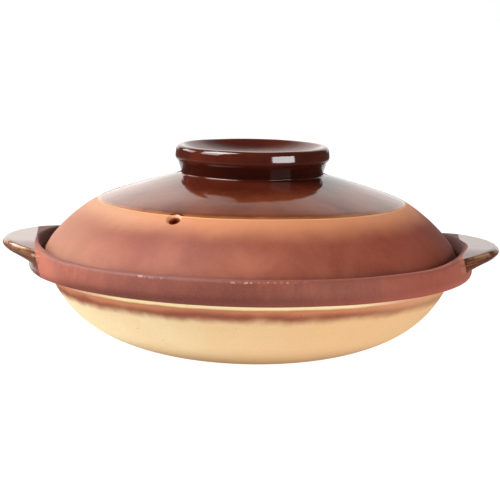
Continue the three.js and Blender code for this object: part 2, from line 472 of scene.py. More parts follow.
# %% [markdown]
# ## The glaze on the lid
#
# The crown was dipped, so its coat ends in a clean ring at the shoulder. The underside was brushed,
# and a bare edge is left where the rim rests, so that the lid doesn't fuse to the bowl in the kiln.

# %% Coat the crown and the underside
dipped_feather = 3 * mm
bare_lid_edge = 3 * mm
crown_glaze = throw("crown_glaze", coat(crown, glaze_gap, glaze_face, dipped_feather))
lining_run = [point for point in lid_inside if point.x < lid_rim_inside - bare_lid_edge]
lining_profile = coat(lining_run, -glaze_gap, -glaze_face, brushed_feather)
lid_inner_glaze = throw("lid_inner_glaze", lining_profile)

# %% [markdown]
# ## The steam vent
#
# The vent was pierced through the skirt with a stick while the clay was soft, and its lip wiped
# smooth. A Boolean modifier cuts it with a turned tool: a pin that flares out to the lip, and is
# straight above it. The tool is laid square to the skirt, just outside the glaze, and cuts each
# layer that it passes through, so the edge of the glaze gets a small notch.

# %% Pierce the vent
vent_radius = 2.75 * mm
vent_flare = 1.9 * mm
vent_lip_depth = 0.25 * mm
vent_margin = 0.5 * mm
pin_steps = 40
vent_distance = shoulder.x + vent_radius + vent_margin
vent_turn = math.radians(27)
vent_spot = min(lid_outside, key=lambda point: abs(point.x - vent_distance))
vent_next = lid_outside[lid_outside.index(vent_spot) + 1]
vent_slope = math.atan2(vent_spot.y - vent_next.y, vent_next.x - vent_spot.x)

throat = at(vent_radius, -2 * vent_flare)
lip_edge = at(vent_radius + vent_flare, -vent_lip_depth)
flare = curve(throat, at(0, vent_flare), at(vent_flare, 0.6 * vent_flare), lip_edge, 8)
pin = [at(0, -3 * lid_wall), at(vent_radius, -3 * lid_wall)] + flare
pin += [at(lip_edge.x, vent_flare), at(0, vent_flare)]
vent_middle = Vector((
    -vent_distance * math.sin(vent_turn),
    -vent_distance * math.cos(vent_turn),
    vent_spot.y,
))

vent_pin = throw("vent_pin", pin, pin_steps)
vent_pin.rotation_euler = (vent_slope, 0, -vent_turn)
vent_pin.location = vent_middle
vent_axis = vent_pin.matrix_basis.to_3x3() @ Vector((0, 0, 1))

for piece in (thrown_lid, crown_glaze, lid_inner_glaze):
    only(piece)
    vent = piece.modifiers.new("vent", "BOOLEAN")
    vent.operation = "DIFFERENCE"
    vent.solver = "EXACT"
    vent.object = vent_pin
    bpy.ops.object.modifier_apply(modifier="vent")
    bpy.ops.object.shade_smooth_by_angle(angle=smooth_angle)
    print(f"{piece.name}: {len(piece.data.polygons)} faces after piercing")
bpy.data.objects.remove(vent_pin)

# %% [markdown]
# ## The ring knob
#
# The knob is thrown by itself and joined to the crown with slip, and glaze has run into the joint
# and left a soft fillet there. Above a tapered neck a flange juts out, with an upright band as its
# face and a soft upper edge, and its top is dished so that a palm can grip it. All of it is one
# profile: fillet, neck, the flange's lower edge, its band, the crest and the dish.

# %% Throw the knob
knob_foot = at(0, knob_low.z)
waist = knob_foot + at(41, 1.7) * mm
lip = knob_foot + at(43.2, 8.5) * mm
band_low = knob_foot + at(44.6, 10.7) * mm
band_high = knob_foot + at(44.2, 14.6) * mm
crest = at(41.2 * mm, knob_high.z - 0.2 * mm)
dish_floor = at(0, knob_high.z - 8.4 * mm)

fillet = curve(knob_foot + at(45, 0.1) * mm, at(-2.8, 0.2) * mm, at(0.2, 0.7) * mm, waist, 12)
neck_side = curve(waist, at(0.5, 2) * mm, at(0.75, 2) * mm, lip, 14)
flange_edge = curve(lip, at(0.8, 0.6) * mm, at(0.1, 1) * mm, band_low, 10)
flange = curve(band_low, at(0.06, 1.3) * mm, at(-0.16, 1.2) * mm, band_high, 8)
flange += curve(band_high, at(-0.26, 2) * mm, at(-1.7, 0) * mm, crest, 14)[1:]
dish_edge = crest + at(-2.3, -0.65) * mm
dish = curve(crest, at(-1.2, 0) * mm, at(-1, -0.52) * mm, dish_edge, 8)
dish += curve(dish_edge, at(-9.6, -6) * mm, at(-20, 0) * mm, dish_floor, 22)[1:]
knob_profile = [knob_foot, at(fillet[0].x, knob_foot.y - 0.4 * mm)]
knob_profile += fillet + neck_side[1:] + flange_edge[1:] + flange[1:] + dish[1:]
ring_knob = throw("ring_knob", knob_profile)

# %% [markdown]
# ## Nothing thrown by hand is quite true
#
# A wheel leaves small errors, and they show most in a glossy surface, where each one bends a
# reflection. A Displace modifier moves every corner by a soft coloured noise: red moves it along X,
# green along Y and blue along Z. All pieces read the same noise in the same place, so a coat of
# glaze moves with the clay under it. Corners near the ground keep still, so that the foot stays
# flat.

# %% Make the pieces slightly uneven
wobble_strength = 0.5 * mm
still_below, free_above = 2 * mm, 20 * mm
unevenness = bpy.data.textures.new("unevenness", "CLOUDS")
unevenness.cloud_type = "COLOR"
unevenness.noise_scale = 40 * mm
unevenness.noise_depth = 1
thrown = (thrown_bowl, bowl_inner_glaze, thrown_lid, crown_glaze, lid_inner_glaze, ring_knob)

for piece in thrown:
    only(piece)
    weigh(piece, "off_the_ground", lambda co: ease(co.z, still_below, free_above))
    wobble = piece.modifiers.new("wobble", "DISPLACE")
    wobble.texture = unevenness
    wobble.texture_coords = "LOCAL"
    wobble.direction = "RGB_TO_XYZ"
    wobble.strength = wobble_strength
    wobble.vertex_group = "off_the_ground"
    bpy.ops.object.modifier_apply(modifier="wobble")
print("Slightly uneven now:", ", ".join(piece.name for piece in thrown))

# %% [markdown]
# ## Marking where a finish changes
#
# Glaze runs off an edge and leaves it thin, and on the ears a pale highlight is painted along it. A
# rim gathers dust and chips along its outer edge, and its top gets a painted sheen.
# Such places follow the shape, not the position, so they are marked on the mesh: a value on each
# corner, worked out from the way that the surface faces there. A material reads the marks by name
# with an Attribute node.


# %% Mark the edges of the ears and the top of the rim
edge_tilt, edge_spread = 0.55, 0.4


def mark(piece, name, value_at):
    """A named value on each corner of a piece, worked out from the corner."""
    marks = piece.data.attributes.new(name, "FLOAT", "POINT")
    for vertex in piece.data.vertices:
        marks.data[vertex.index].value = value_at(vertex)
    count = sum(spot.value > 0.5 for spot in marks.data)
    print(f"{piece.name}: {name} is marked on {count} corners")


def upper_edge(vertex):
    return max(0, 1 - abs(vertex.normal.z - edge_tilt) / edge_spread)


def facing_out(vertex):
    return 1 - ease(vertex.normal.z, 0.1, 0.5)


def on_rim(vertex):
    outside = vertex.co.xy.length > gallery_radius + 0.5 * mm
    return outside and vertex.co.z > rim_height - 2 * rim_round


for ear in (left_ear, right_ear):
    mark(ear, "edge", lambda vertex: upper_edge(vertex) * (vertex.co.xy.length > collar_radius))
    mark(ear, "side", facing_out)
mark(thrown_bowl, "edge", lambda vertex: upper_edge(vertex) * on_rim(vertex))
mark(thrown_bowl, "top", lambda vertex: ease(vertex.normal.z, 0.45, 0.95) * on_rim(vertex))

# %% [markdown]
# ## Building materials out of nodes
#
# Every finish is a small tree of shader nodes. A few helpers keep the trees short: add makes a node
# and fills its inputs with values or links, sums does one step of arithmetic, over and tinted lay
# one colour over another by a mask, and between and hump make a mask out of a value. Others start a
# node group and place it. Colours are written as they look on a screen, from 0 to 255, and turned
# into the linear values that a shader works with.


# %% Helpers for single nodes
def paint(red, green, blue):
    """A screen colour as the linear colour that a shader needs."""
    shares = [value / 255 for value in (red, green, blue)]
    return [s / 12.92 if s <= 0.04045 else ((s + 0.055) / 1.055) ** 2.4 for s in shares] + [1]


def add(tree, kind, inputs=None, **settings):
    """Adds a shader node. An input takes a value, or the socket that it is linked to."""
    made = tree.nodes.new("ShaderNode" + kind)
    for name, value in settings.items():
        setattr(made, name, value)
    for name, value in (inputs or {}).items():
        if isinstance(value, bpy.types.NodeSocket):
            tree.links.new(value, made.inputs[name])
        else:
            made.inputs[name].default_value = value
    return made


def sums(tree, operation, first, second=0.0, third=0.0):
    """One step of arithmetic on values that change over the surface."""
    return add(tree, "Math", {0: first, 1: second, 2: third}, operation=operation).outputs[0]


def over(tree, mask, below, above):
    """The colour above where the mask is 1, and the colour below where it is 0."""
    mix = add(tree, "Mix", {0: mask, 6: below, 7: above}, data_type="RGBA")
    return mix.outputs[2]


def tinted(tree, mask, strength, below, above):
    """The colour above, at a strength from 0 to 1, where the mask is 1."""
    return over(tree, sums(tree, "MULTIPLY", mask, strength), below, above)


def between(tree, value, low, high):
    """A value that runs smoothly from 0 to 1 while another runs from low to high."""
    sockets = {"Value": value, "From Min": low, "From Max": high}
    return add(tree, "MapRange", sockets, interpolation_type="SMOOTHSTEP").outputs[0]


def hump(tree, value, start, full, fade, end):
    """A mask that rises from start to full, stays 1, and falls from fade to end."""
    return sums(tree, "MULTIPLY", between(tree, value, start, full), between(tree, value, end, fade))


print("Helpers for single nodes are ready")


# %% Helpers for groups, noise and marks
def start_group(name, inputs, outputs):
    """A new node group with named inputs, given with their usual values, and named outputs."""
    tree = bpy.data.node_groups.new(name, "ShaderNodeTree")
    for label, usual in inputs.items():
        socket = tree.interface.new_socket(label, in_out="INPUT", socket_type="NodeSocketFloat")
        socket.default_value = usual
    for label in outputs:
        tree.interface.new_socket(label, in_out="OUTPUT", socket_type="NodeSocketFloat")
    return tree, tree.nodes.new("NodeGroupInput").outputs, tree.nodes.new("NodeGroupOutput").inputs


def place(tree, group, **inputs):
    """Places a node group in a tree and returns its outputs."""
    labelled = {label.capitalize(): value for label, value in inputs.items()}
    return add(tree, "Group", labelled, node_tree=group).outputs


def noise(tree, size, detail=2.0, roughness=0.5, vector=None):
    """Soft noise from 0 to 1, with lumps of about a size in mm, on the piece's own coordinates."""
    spot = vector or add(tree, "TexCoord").outputs["Object"]
    sockets = {"Vector": spot, "Scale": 1000 / size, "Detail": detail, "Roughness": roughness}
    return add(tree, "TexNoise", sockets).outputs[0]


def marked(tree, name):
    """The value that was marked on the mesh under a name."""
    return add(tree, "Attribute", attribute_name=name).outputs["Fac"]


print("Helpers for groups are ready")

# %% [markdown]
# ## Where on the pot
#
# The kiln and the potter coloured this pot by place: by height, by distance from the axis, and on
# the ears by how far they were dipped. One group turns the Object coordinates into those numbers,
# in millimetres. The pot was held a little askew when its ears were dipped, so Dip, which is how
# far out a place is towards an ear, leans along the rim and with height. Side is plain left and
# right, and Back is front and back.

# %% Group: the place on the pot
dip_lean = -0.068
dip_shift = 1.5 * mm
dip_fall = 0.25
pot_place, _, found = start_group("pot_place", {}, ("Radius", "Height", "Dip", "Side", "Back"))
spot = add(pot_place, "SeparateXYZ", {0: add(pot_place, "TexCoord").outputs["Object"]}).outputs
square = sums(pot_place, "MULTIPLY", spot[0], spot[0])
square = sums(pot_place, "MULTIPLY_ADD", spot[1], spot[1], square)
sideways = sums(pot_place, "MULTIPLY_ADD", spot[2], dip_fall, dip_shift - dip_fall * ear_top)
off_middle = sums(pot_place, "ABSOLUTE", sums(pot_place, "ADD", spot[0], sideways))
for label, value in (
    ("Radius", sums(pot_place, "SQRT", square)),
    ("Height", spot[2]),
    ("Dip", sums(pot_place, "MULTIPLY_ADD", spot[1], dip_lean, off_middle)),
    ("Side", spot[0]),
    ("Back", spot[1]),
):
    pot_place.links.new(sums(pot_place, "MULTIPLY", value, 1000), found[label])
print("Group:", pot_place.name)

# %% [markdown]
# ## How far from the vent
#
# Two finishes change at the steam vent: the glaze is darker along its upper lip, and steam stained
# its inside. This group gives the distance from the vent's axis, in millimetres: the length of a
# cross product with the axis.

# %% Group: the distance from the vent
vent_place, _, found = start_group("vent_place", {}, ("Distance",))
own = add(vent_place, "TexCoord").outputs["Object"]
away = add(vent_place, "VectorMath", {0: own, 1: vent_middle}, operation="SUBTRACT").outputs[0]
across = add(vent_place, "VectorMath", {0: away, 1: vent_axis}, operation="CROSS_PRODUCT")
length = add(vent_place, "VectorMath", {0: across.outputs[0]}, operation="LENGTH").outputs["Value"]
vent_place.links.new(sums(vent_place, "MULTIPLY", length, 1000), found["Distance"])
print("Group:", vent_place.name)

# %% [markdown]
# ## An edge that wanders
#
# Where a brush stroke, a dip or a lick of flame ends, the edge is soft and wanders. This group
# gives a mask that goes from 0 to 1 where a place passes a line. Softness is how wide the change
# is, and Wander how far it strays.

# %% Group: a soft, wandering edge
soft_edge, given, found = start_group(
    "soft_edge", {"Place": 0, "At": 0, "Softness": 1, "Wander": 0, "Lump": 15}, ("Mask",)
)
own = add(soft_edge, "TexCoord").outputs["Object"]
lumps = add(soft_edge, "TexNoise", {"Vector": own, "Detail": 3})
soft_edge.links.new(sums(soft_edge, "DIVIDE", 1000, given["Lump"]), lumps.inputs["Scale"])
stray = sums(soft_edge, "SUBTRACT", lumps.outputs[0], 0.5)
stray = sums(soft_edge, "MULTIPLY", stray, given["Wander"])
passed = sums(soft_edge, "MULTIPLY_ADD", stray, 2, given["Place"])
passed = sums(soft_edge, "SUBTRACT", passed, given["At"])
share = sums(soft_edge, "DIVIDE", passed, given["Softness"])
soft_edge.links.new(between(soft_edge, share, -0.5, 0.5), found["Mask"])


def past(tree, value, **line):
    """Places the group: a mask of where a value is past a line."""
    return place(tree, soft_edge, place=value, **line)["Mask"]


print("Group:", soft_edge.name)

# %% [markdown]
# ## The grain of fired clay
#
# Bare clay is cloudy in large patches, freckled with iron, and a little rough, with faint rings
# left by the turning. The group gives four values: Cloud for the patches, Grain for the fine
# speckle, Freckle as a mask of dark dots, and Height, in millimetres, for a Bump node.

# %% Group: the grain of the clay
clay_grain, given, found = start_group(
    "clay_grain", {"Patch": 28}, ("Cloud", "Grain", "Freckle", "Height")
)
own = add(clay_grain, "TexCoord").outputs["Object"]
cloudy = {"Vector": own, "Detail": 4, "Roughness": 0.55, "Distortion": 0.4}
clouds = add(clay_grain, "TexNoise", cloudy)
clay_grain.links.new(sums(clay_grain, "DIVIDE", 1000, given["Patch"]), clouds.inputs["Scale"])
clay_grain.links.new(between(clay_grain, clouds.outputs[0], 0.3, 0.7), found["Cloud"])
fine = noise(clay_grain, 1.1, 3, 0.6)
clay_grain.links.new(fine, found["Grain"])
dots = add(clay_grain, "TexVoronoi", {"Vector": own, "Scale": 1000 / 5}).outputs["Distance"]
sparse = between(clay_grain, noise(clay_grain, 9, 2), 0.52, 0.66)
dark_dots = sums(clay_grain, "SUBTRACT", 1, between(clay_grain, dots, 0.04, 0.13))
clay_grain.links.new(sums(clay_grain, "MULTIPLY", dark_dots, sparse), found["Freckle"])
where = place(clay_grain, pot_place)
ring_spot = add(clay_grain, "CombineXYZ", {0: where["Radius"], 2: where["Height"]}).outputs[0]
rings = add(clay_grain, "TexNoise", {"Vector": ring_spot, "Scale": 0.55, "Detail": 2}).outputs[0]
rough = sums(clay_grain, "MULTIPLY", fine, 0.028)
rough = sums(clay_grain, "MULTIPLY_ADD", rings, 0.05, rough)
rough = sums(clay_grain, "MULTIPLY_ADD", noise(clay_grain, 5, 2), 0.06, rough)
clay_grain.links.new(sums(clay_grain, "MULTIPLY_ADD", dark_dots, -0.02, rough), found["Height"])
print("Group:", clay_grain.name)

# %% [markdown]
# ## The skin of the glaze
#
# Melted glaze settles nearly smooth, with slow waves that bend reflections and a few pinholes.
# Where it pooled it is darker. The group gives Pool for the colour, Smear for the gloss, and
# Height, in millimetres, for a Bump node.

# %% Group: the skin of the glaze
glaze_skin, given, found = start_group("glaze_skin", {"Wave": 0.1}, ("Pool", "Smear", "Height"))
glaze_skin.links.new(between(glaze_skin, noise(glaze_skin, 22, 3), 0.3, 0.7), found["Pool"])
glaze_skin.links.new(noise(glaze_skin, 14, 3), found["Smear"])
own = add(glaze_skin, "TexCoord").outputs["Object"]
holes = add(glaze_skin, "TexVoronoi", {"Vector": own, "Scale": 1000 / 9})
pits = sums(glaze_skin, "SUBTRACT", 1, between(glaze_skin, holes.outputs["Distance"], 0.01, 0.05))
waves = sums(glaze_skin, "MULTIPLY", noise(glaze_skin, 11, 1), given["Wave"])
waves = sums(glaze_skin, "MULTIPLY_ADD", noise(glaze_skin, 3, 1), 0.008, waves)
glaze_skin.links.new(sums(glaze_skin, "MULTIPLY_ADD", pits, -0.02, waves), found["Height"])
print("Group:", glaze_skin.name)

# %% [markdown]
# ## Starting a finish
#
# Each finish starts the same way: a material with a Principled shader, to which a colour, a
# roughness and a height are linked. The height goes through a Bump node. What is the same all over
# is set on the shader itself.


# %% Helpers that start and end a finish
def start_finish(name, specular=0.5):
    material = bpy.data.materials.new(name)
    material.use_nodes = True
    shader = material.node_tree.nodes["Principled BSDF"]
    shader.inputs["Specular IOR Level"].default_value = specular
    return material, material.node_tree, shader


def end_finish(tree, shader, colour, roughness, height):
    """Links the colour, the roughness and, through a Bump node, the height in millimetres."""
    tree.links.new(colour, shader.inputs["Base Color"])
    tree.links.new(roughness, shader.inputs["Roughness"])
    bump = add(tree, "Bump", {"Height": height, "Distance": mm, "Strength": 1.0})
    tree.links.new(bump.outputs[0], shader.inputs["Normal"])


def glaze_colours(tree, skin, thin_and_glint, thick_and_shaded=0.0):
    """Brown glaze: darker where pooled, darkest where heavy and in painted shade, amber as it thins."""
    body = over(tree, skin["Pool"], paint(130, 64, 38), paint(108, 49, 29))
    body = over(tree, thick_and_shaded, body, over(tree, skin["Pool"], paint(95, 37, 22), paint(77, 27, 17)))
    return over(tree, thin_and_glint, body, paint(178, 112, 64))


print("Ready for the finishes")

# %% [markdown]
# ## Brown glaze
#
# The iron glaze is dark brown and glossy, and glows amber where it thins out at the crown's edge.
# The edge is found by the distance from the axis, and only above the shoulder, so that the inside
# of the pot stays dark. The knob was dipped twice, so its coat is thick and dark. Its neck is
# painted darker still, as painted shade under the flange. Round the knob's foot the crown is
# darker too: partly glaze that pooled there, and partly painted shade and a painted reflection of
# the knob. It is darker again along the lip of the vent.

# %% Finish: brown glaze
brown_glaze, tree, shader = start_finish("brown_glaze")
where = place(tree, pot_place)
skin = place(tree, glaze_skin, wave=0.12)

outwards = past(tree, where["Radius"], at=1000 * shoulder.x - 1.2, softness=3.5, wander=2.2)
above = between(tree, where["Height"], 1000 * shoulder.y - 0.6, 1000 * shoulder.y - 0.2)
vent_lip = 1000 * (vent_radius + vent_flare)
off_lip = between(tree, place(tree, vent_place)["Distance"], vent_lip + 0.6, vent_lip + 2)
thin_and_glint = sums(tree, "MULTIPLY", sums(tree, "MULTIPLY", outwards, above), off_lip)

# Painted shade and painted reflection of the knob on the crown, with some pooled glaze.
pooled_and_shaded = between(tree, where["Radius"], 70, 50)
up_knob = sums(tree, "SUBTRACT", where["Height"], 1000 * knob_foot.y)
thick_and_shaded = sums(tree, "MAXIMUM", pooled_and_shaded, between(tree, up_knob, 1, 3))
by_vent = sums(tree, "MULTIPLY_ADD", off_lip, -0.5, 0.5)
thick_and_shaded = sums(tree, "MAXIMUM", thick_and_shaded, by_vent)

# Painted shade: the neck under the flange is painted darker.
neck_shade = hump(tree, up_knob, 1, 2.5, 7.6, 9)
colour = tinted(tree, neck_shade, 0.65, glaze_colours(tree, skin, thin_and_glint, thick_and_shaded), paint(40, 12, 8))
gloss = sums(tree, "MULTIPLY_ADD", skin["Smear"], 0.08, 0.04)
end_finish(tree, shader, colour, gloss, skin["Height"])
shader.inputs["IOR"].default_value = 1.52
print("Finish:", brown_glaze.name)

# %% [markdown]
# ## The colours of the bowl's wall
#
# The bowl's wall is coloured in level bands. Towards the foot it is tan, which is partly the clay's
# colour and partly painted shade. On the wall it is cream, painted lighter on the left, where the
# light falls, and deeper on the right. Above it the fire flashed a brown band with a ragged lower
# edge, and left a thin cream line in the shelter of the collar, which fades to tan towards both
# ears. Each band is laid over the one before it, from the height at which it starts. An image could
# be painted instead, but then it would have to be unwrapped and stored.


# %% Bands on the wall
def wall_bands(tree, where, grain):
    """The wall's clay from the foot up to the flashed band."""
    height, side = where["Height"], where["Side"]
    # Painted light: the cream is lighter on the left, where the light falls, and deeper on the right.
    cream = over(tree, between(tree, side, -110, 60), paint(255, 236, 188), paint(243, 195, 140))
    cream = tinted(tree, grain["Cloud"], 0.4, cream, paint(246, 200, 143))
    # Tan towards the foot: partly the clay's colour and partly painted shade.
    off_foot = past(tree, height, at=10, softness=20, wander=2, lump=30)
    colour = over(tree, off_foot, paint(178, 130, 78), cream)
    upper = past(tree, height, at=40.6, softness=4, wander=2.4, lump=19)
    flashed = over(tree, upper, paint(160, 84, 58), paint(210, 134, 93))
    into_band = past(tree, height, at=36.4, softness=5.8, wander=2.8, lump=14)
    faded = sums(tree, "SUBTRACT", 1, sums(tree, "MULTIPLY", between(tree, side, 40, 115), 0.42))
    return over(tree, sums(tree, "MULTIPLY", into_band, faded), colour, flashed)


def sheltered_line(tree, where):
    """The cream line under the collar."""
    to_left = between(tree, where["Side"], -65, -102)
    to_right = between(tree, where["Side"], 50, 92)
    faint = sums(tree, "MAXIMUM", to_left, to_right)
    return over(tree, faint, paint(255, 232, 180), paint(224, 165, 131))


print("Ready: the bands on the wall")

# %% [markdown]
# ## The colours of the collar
#
# The collar is red-brown and cloudy, with faint streaks down it, darker along its lower edge and
# left of the front, and toasted in front of the ears. On the right it is painted lighter and redder,
# as painted light. The streaks are a noise that is drawn out in height, by scaling the coordinates
# that it reads.


# %% Red clay on the collar
def collar_red(tree, where, grain):
    """The collar's clay."""
    side = where["Side"]
    red = over(tree, grain["Cloud"], paint(150, 77, 58), paint(176, 96, 73))
    own = add(tree, "TexCoord").outputs["Object"]
    drawn_out = add(tree, "VectorMath", {0: own, 1: (1, 1, 0.12)}, operation="MULTIPLY").outputs[0]
    streaks = between(tree, noise(tree, 4, 3, 0.6, drawn_out), 0.3, 0.7)
    red = tinted(tree, streaks, 0.45, red, paint(132, 66, 56))
    # Darker along the lower edge of the collar.
    off_lower_edge = past(tree, where["Height"], at=53, softness=8, wander=2, lump=26)
    red = over(tree, off_lower_edge, over(tree, 0.65, red, paint(122, 58, 48)), red)
    left_of_front = hump(tree, side, -100, -65, -35, 10)
    red = tinted(tree, left_of_front, 0.55, red, paint(120, 56, 46))
    # Painted light: lighter and redder towards the right.
    red = tinted(tree, between(tree, side, 20, 110), 0.5, red, paint(206, 98, 76))
    by_ears = between(tree, where["Dip"], 104, 122)
    toasted = sums(tree, "MULTIPLY", by_ears, between(tree, where["Back"], 5, -15))
    return tinted(tree, toasted, 0.55, red, paint(198, 114, 92))


def banded_clay(tree, where, grain):
    """The bowl's clay from the foot up to the rim."""
    sheltered = past(tree, where["Height"], at=43.4, softness=1.1, wander=0.5)
    colour = over(tree, sheltered, wall_bands(tree, where, grain), sheltered_line(tree, where))
    outwards = past(tree, where["Radius"], at=118.5, softness=2.5, wander=1)
    on_collar = sums(tree, "MULTIPLY", outwards, sheltered)
    return over(tree, on_collar, colour, collar_red(tree, where, grain))


print("Ready: the collar")

# %% [markdown]
# ## Wear and freckles
#
# The rim's top is a dusty grey-mauve, which is partly dust and partly a painted sheen, and it is
# painted dark red at the back, partly as painted shade. Its outer edge is chipped in two stretches,
# one of them at the front, where a scuff runs the chips together. The chips lie only where the edge
# was marked on the mesh. Fine speckle and dark iron freckles go over all the bare clay.

# %% Wear on the rim, and details of bare clay
# Dark red at the back of the rim and of the ears' ends: partly painted shade.
dark_rim_back = paint(98, 50, 46)


def rim_details(tree, where, colour):
    """The rim's dusty top with a painted sheen, and the pale chips along its outer edge."""
    side = where["Side"]
    # Painted sheen: the top's grey-mauve is partly dust and partly a painted sheen.
    dust_and_sheen = over(tree, between(tree, side, -40, 20), paint(146, 98, 94), paint(148, 82, 68))
    dust_and_sheen = over(tree, between(tree, where["Back"], -15, 10), dust_and_sheen, dark_rim_back)
    colour = tinted(tree, marked(tree, "top"), 0.7, colour, dust_and_sheen)
    front, left_of_front = hump(tree, side, -20, -2, 16, 34), hump(tree, side, -64, -57, -49, -42)
    worn = sums(tree, "MAXIMUM", front, left_of_front)
    scuffed = hump(tree, side, -9, -4, 6, 15)
    flakes = sums(tree, "MULTIPLY_ADD", scuffed, 0.08, noise(tree, 2.2, 2))
    edge = between(tree, marked(tree, "edge"), 0.3, 0.7)
    chips = sums(tree, "MULTIPLY", between(tree, flakes, 0.5, 0.66), edge)
    return over(tree, sums(tree, "MULTIPLY", chips, worn), colour, paint(218, 156, 132))


def clay_details(tree, grain, colour):
    """Fine speckle and dark iron freckles over a colour."""
    speckled = over(tree, between(tree, grain["Grain"], 0.35, 0.75), colour, paint(196, 140, 108))
    colour = over(tree, 0.1, colour, speckled)
    return tinted(tree, grain["Freckle"], 0.45, colour, paint(92, 46, 36))


print("Ready: wear and freckles")

# %% [markdown]
# ## The bowl's finish
#
# The ears were dipped sideways in glaze, and on the left the collar beyond the dip is brown and
# glossy too. The rim's inside, and its top beside the right ear, are painted dark: partly a stain,
# and partly painted shade between the rim and the lid. One material holds both clay and glaze: a
# mask turns the colour, the roughness and the height from one to the other.

# %% Finish: the bowl's clay
dip_line = 123.1


def dipped(tree, where):
    """A mask of what was dipped sideways in glaze: the ears, and the collar behind them."""
    return past(tree, where["Dip"], at=dip_line, softness=0.8, wander=0.9, lump=9)


def part_glazed(tree, shader, mask, clay, grain, glaze, skin):
    """Ends a finish that is bare clay and turns into glaze where the mask is 1."""
    matt = sums(tree, "MULTIPLY_ADD", grain["Grain"], 0.2, 0.55)
    gloss = sums(tree, "MULTIPLY_ADD", skin["Smear"], 0.1, 0.04)
    roughness = sums(tree, "MULTIPLY_ADD", sums(tree, "SUBTRACT", gloss, matt), mask, matt)
    rise = sums(tree, "SUBTRACT", skin["Height"], grain["Height"])
    height = sums(tree, "MULTIPLY_ADD", rise, mask, grain["Height"])
    end_finish(tree, shader, over(tree, mask, clay, glaze), roughness, height)


bowl_clay, tree, shader = start_finish("bowl_clay", 0.3)
where = place(tree, pot_place)
grain = place(tree, clay_grain, patch=24)
skin = place(tree, glaze_skin, wave=0.05)
bare = clay_details(tree, grain, rim_details(tree, where, banded_clay(tree, where, grain)))

on_right, on_left = between(tree, where["Side"], -10, 10), between(tree, where["Side"], 10, -10)
# Painted shade: darken the rim's inside and its top beside the right ear, partly as a stain.
by_right_ear = sums(tree, "MULTIPLY", between(tree, where["Dip"], 108, 118), on_right)
spread = sums(tree, "MAXIMUM", between(tree, where["Back"], -20, 15), by_right_ear)
reach = sums(tree, "MULTIPLY_ADD", spread, -2.2, where["Radius"])
inside = sums(tree, "SUBTRACT", 1, past(tree, reach, at=122.2, softness=0.8, wander=0.4))
stain_and_shade = sums(tree, "MULTIPLY", inside, between(tree, where["Height"], 50, 51))
bare = over(tree, stain_and_shade, bare, paint(78, 33, 26))

glazed = sums(tree, "MULTIPLY", on_left, dipped(tree, where))
part_glazed(tree, shader, glazed, bare, grain, glaze_colours(tree, skin, 0.0), skin)
print("Finish:", bowl_clay.name)

# %% [markdown]
# ## The ears' finish
#
# The ears share the dip with the collar, and where the glaze didn't reach, at their ends, red clay
# shows: toasted in front and dark at the back, partly as painted shade, as on the rim. Along the
# upper edge the glaze ran off and is thin, and a pale, broken line is painted along it as a
# highlight. The side below it is a little olive, more so on the left.

# %% Finish: the dipped ears
dipped_ear, tree, shader = start_finish("dipped_ear")
where = place(tree, pot_place)
grain = place(tree, clay_grain, patch=24)
skin = place(tree, glaze_skin, wave=0.05)
bare = over(tree, grain["Cloud"], paint(178, 98, 77), paint(190, 108, 85))
bare = over(tree, between(tree, where["Back"], -15, 10), bare, dark_rim_back)
bare = clay_details(tree, grain, bare)

leftwards = sums(tree, "MULTIPLY_ADD", between(tree, where["Side"], 10, -10), 0.1, 0.1)
olive = sums(tree, "MULTIPLY", marked(tree, "side"), leftwards)
glaze = over(tree, olive, glaze_colours(tree, skin, 0.0, 0.7), paint(142, 108, 76))
# Painted highlight: a pale, broken line along the marked upper edge.
thin_and_glint = sums(tree, "MULTIPLY", marked(tree, "edge"), between(tree, noise(tree, 7, 3), 0.3, 0.6))
glaze = over(tree, thin_and_glint, glaze, paint(212, 168, 128))
part_glazed(tree, shader, dipped(tree, where), bare, grain, glaze, skin)
print("Finish:", dipped_ear.name)

# %% [markdown]
# ## The lid's clay
#
# Next to the glaze the clay stayed pale orange, because the glaze drew the iron in. Below that the
# skirt is red-brown and cloudy, darker on the right, where the flame licked it most, and paler on
# the far left, partly dust and partly a painted sheen. Steam has stained the inside of the vent.

# %% Finish: the lid's clay
lid_clay, tree, shader = start_finish("lid_clay", 0.2)
where = place(tree, pot_place)
radius, side = where["Radius"], where["Side"]
grain = place(tree, clay_grain, patch=34)

red = over(tree, grain["Cloud"], paint(158, 80, 59), paint(191, 112, 84))
lower = past(tree, radius, at=111, softness=16, wander=6, lump=30)
red = over(tree, lower, over(tree, 0.46, red, paint(134, 62, 47)), red)
licked = past(tree, side, at=55, softness=130, wander=30, lump=45)
red = tinted(tree, licked, 0.45, red, paint(152, 50, 40))
left_of_front = hump(tree, side, -80, -62, -42, -5)
red = tinted(tree, left_of_front, 0.26, red, paint(140, 68, 50))
red = tinted(tree, between(tree, side, 85, 115), 0.4, red, paint(120, 36, 28))

orange = over(tree, between(tree, side, -20, -85), paint(224, 146, 102), paint(216, 157, 119))
off_glaze = past(tree, radius, at=89.4, softness=1.6, wander=0.8)
orange = over(tree, off_glaze, paint(246, 192, 138), orange)
off_orange = past(tree, radius, at=98.5, softness=15, wander=3, lump=18)
colour = over(tree, off_orange, orange, red)
# Painted sheen: the far left is paler, partly dust and partly a painted sheen.
colour = tinted(tree, between(tree, side, -55, -112), 0.55, colour, paint(186, 139, 113))
colour = clay_details(tree, grain, colour)

off_vent = place(tree, vent_place)["Distance"]
clean = between(tree, off_vent, 1000 * vent_radius + 0.1, 1000 * vent_radius + 0.9)
colour = over(tree, clean, paint(176, 84, 56), colour)
matt = sums(tree, "MULTIPLY_ADD", grain["Grain"], 0.2, 0.5)
end_finish(tree, shader, colour, matt, grain["Height"])
print("Finish:", lid_clay.name)

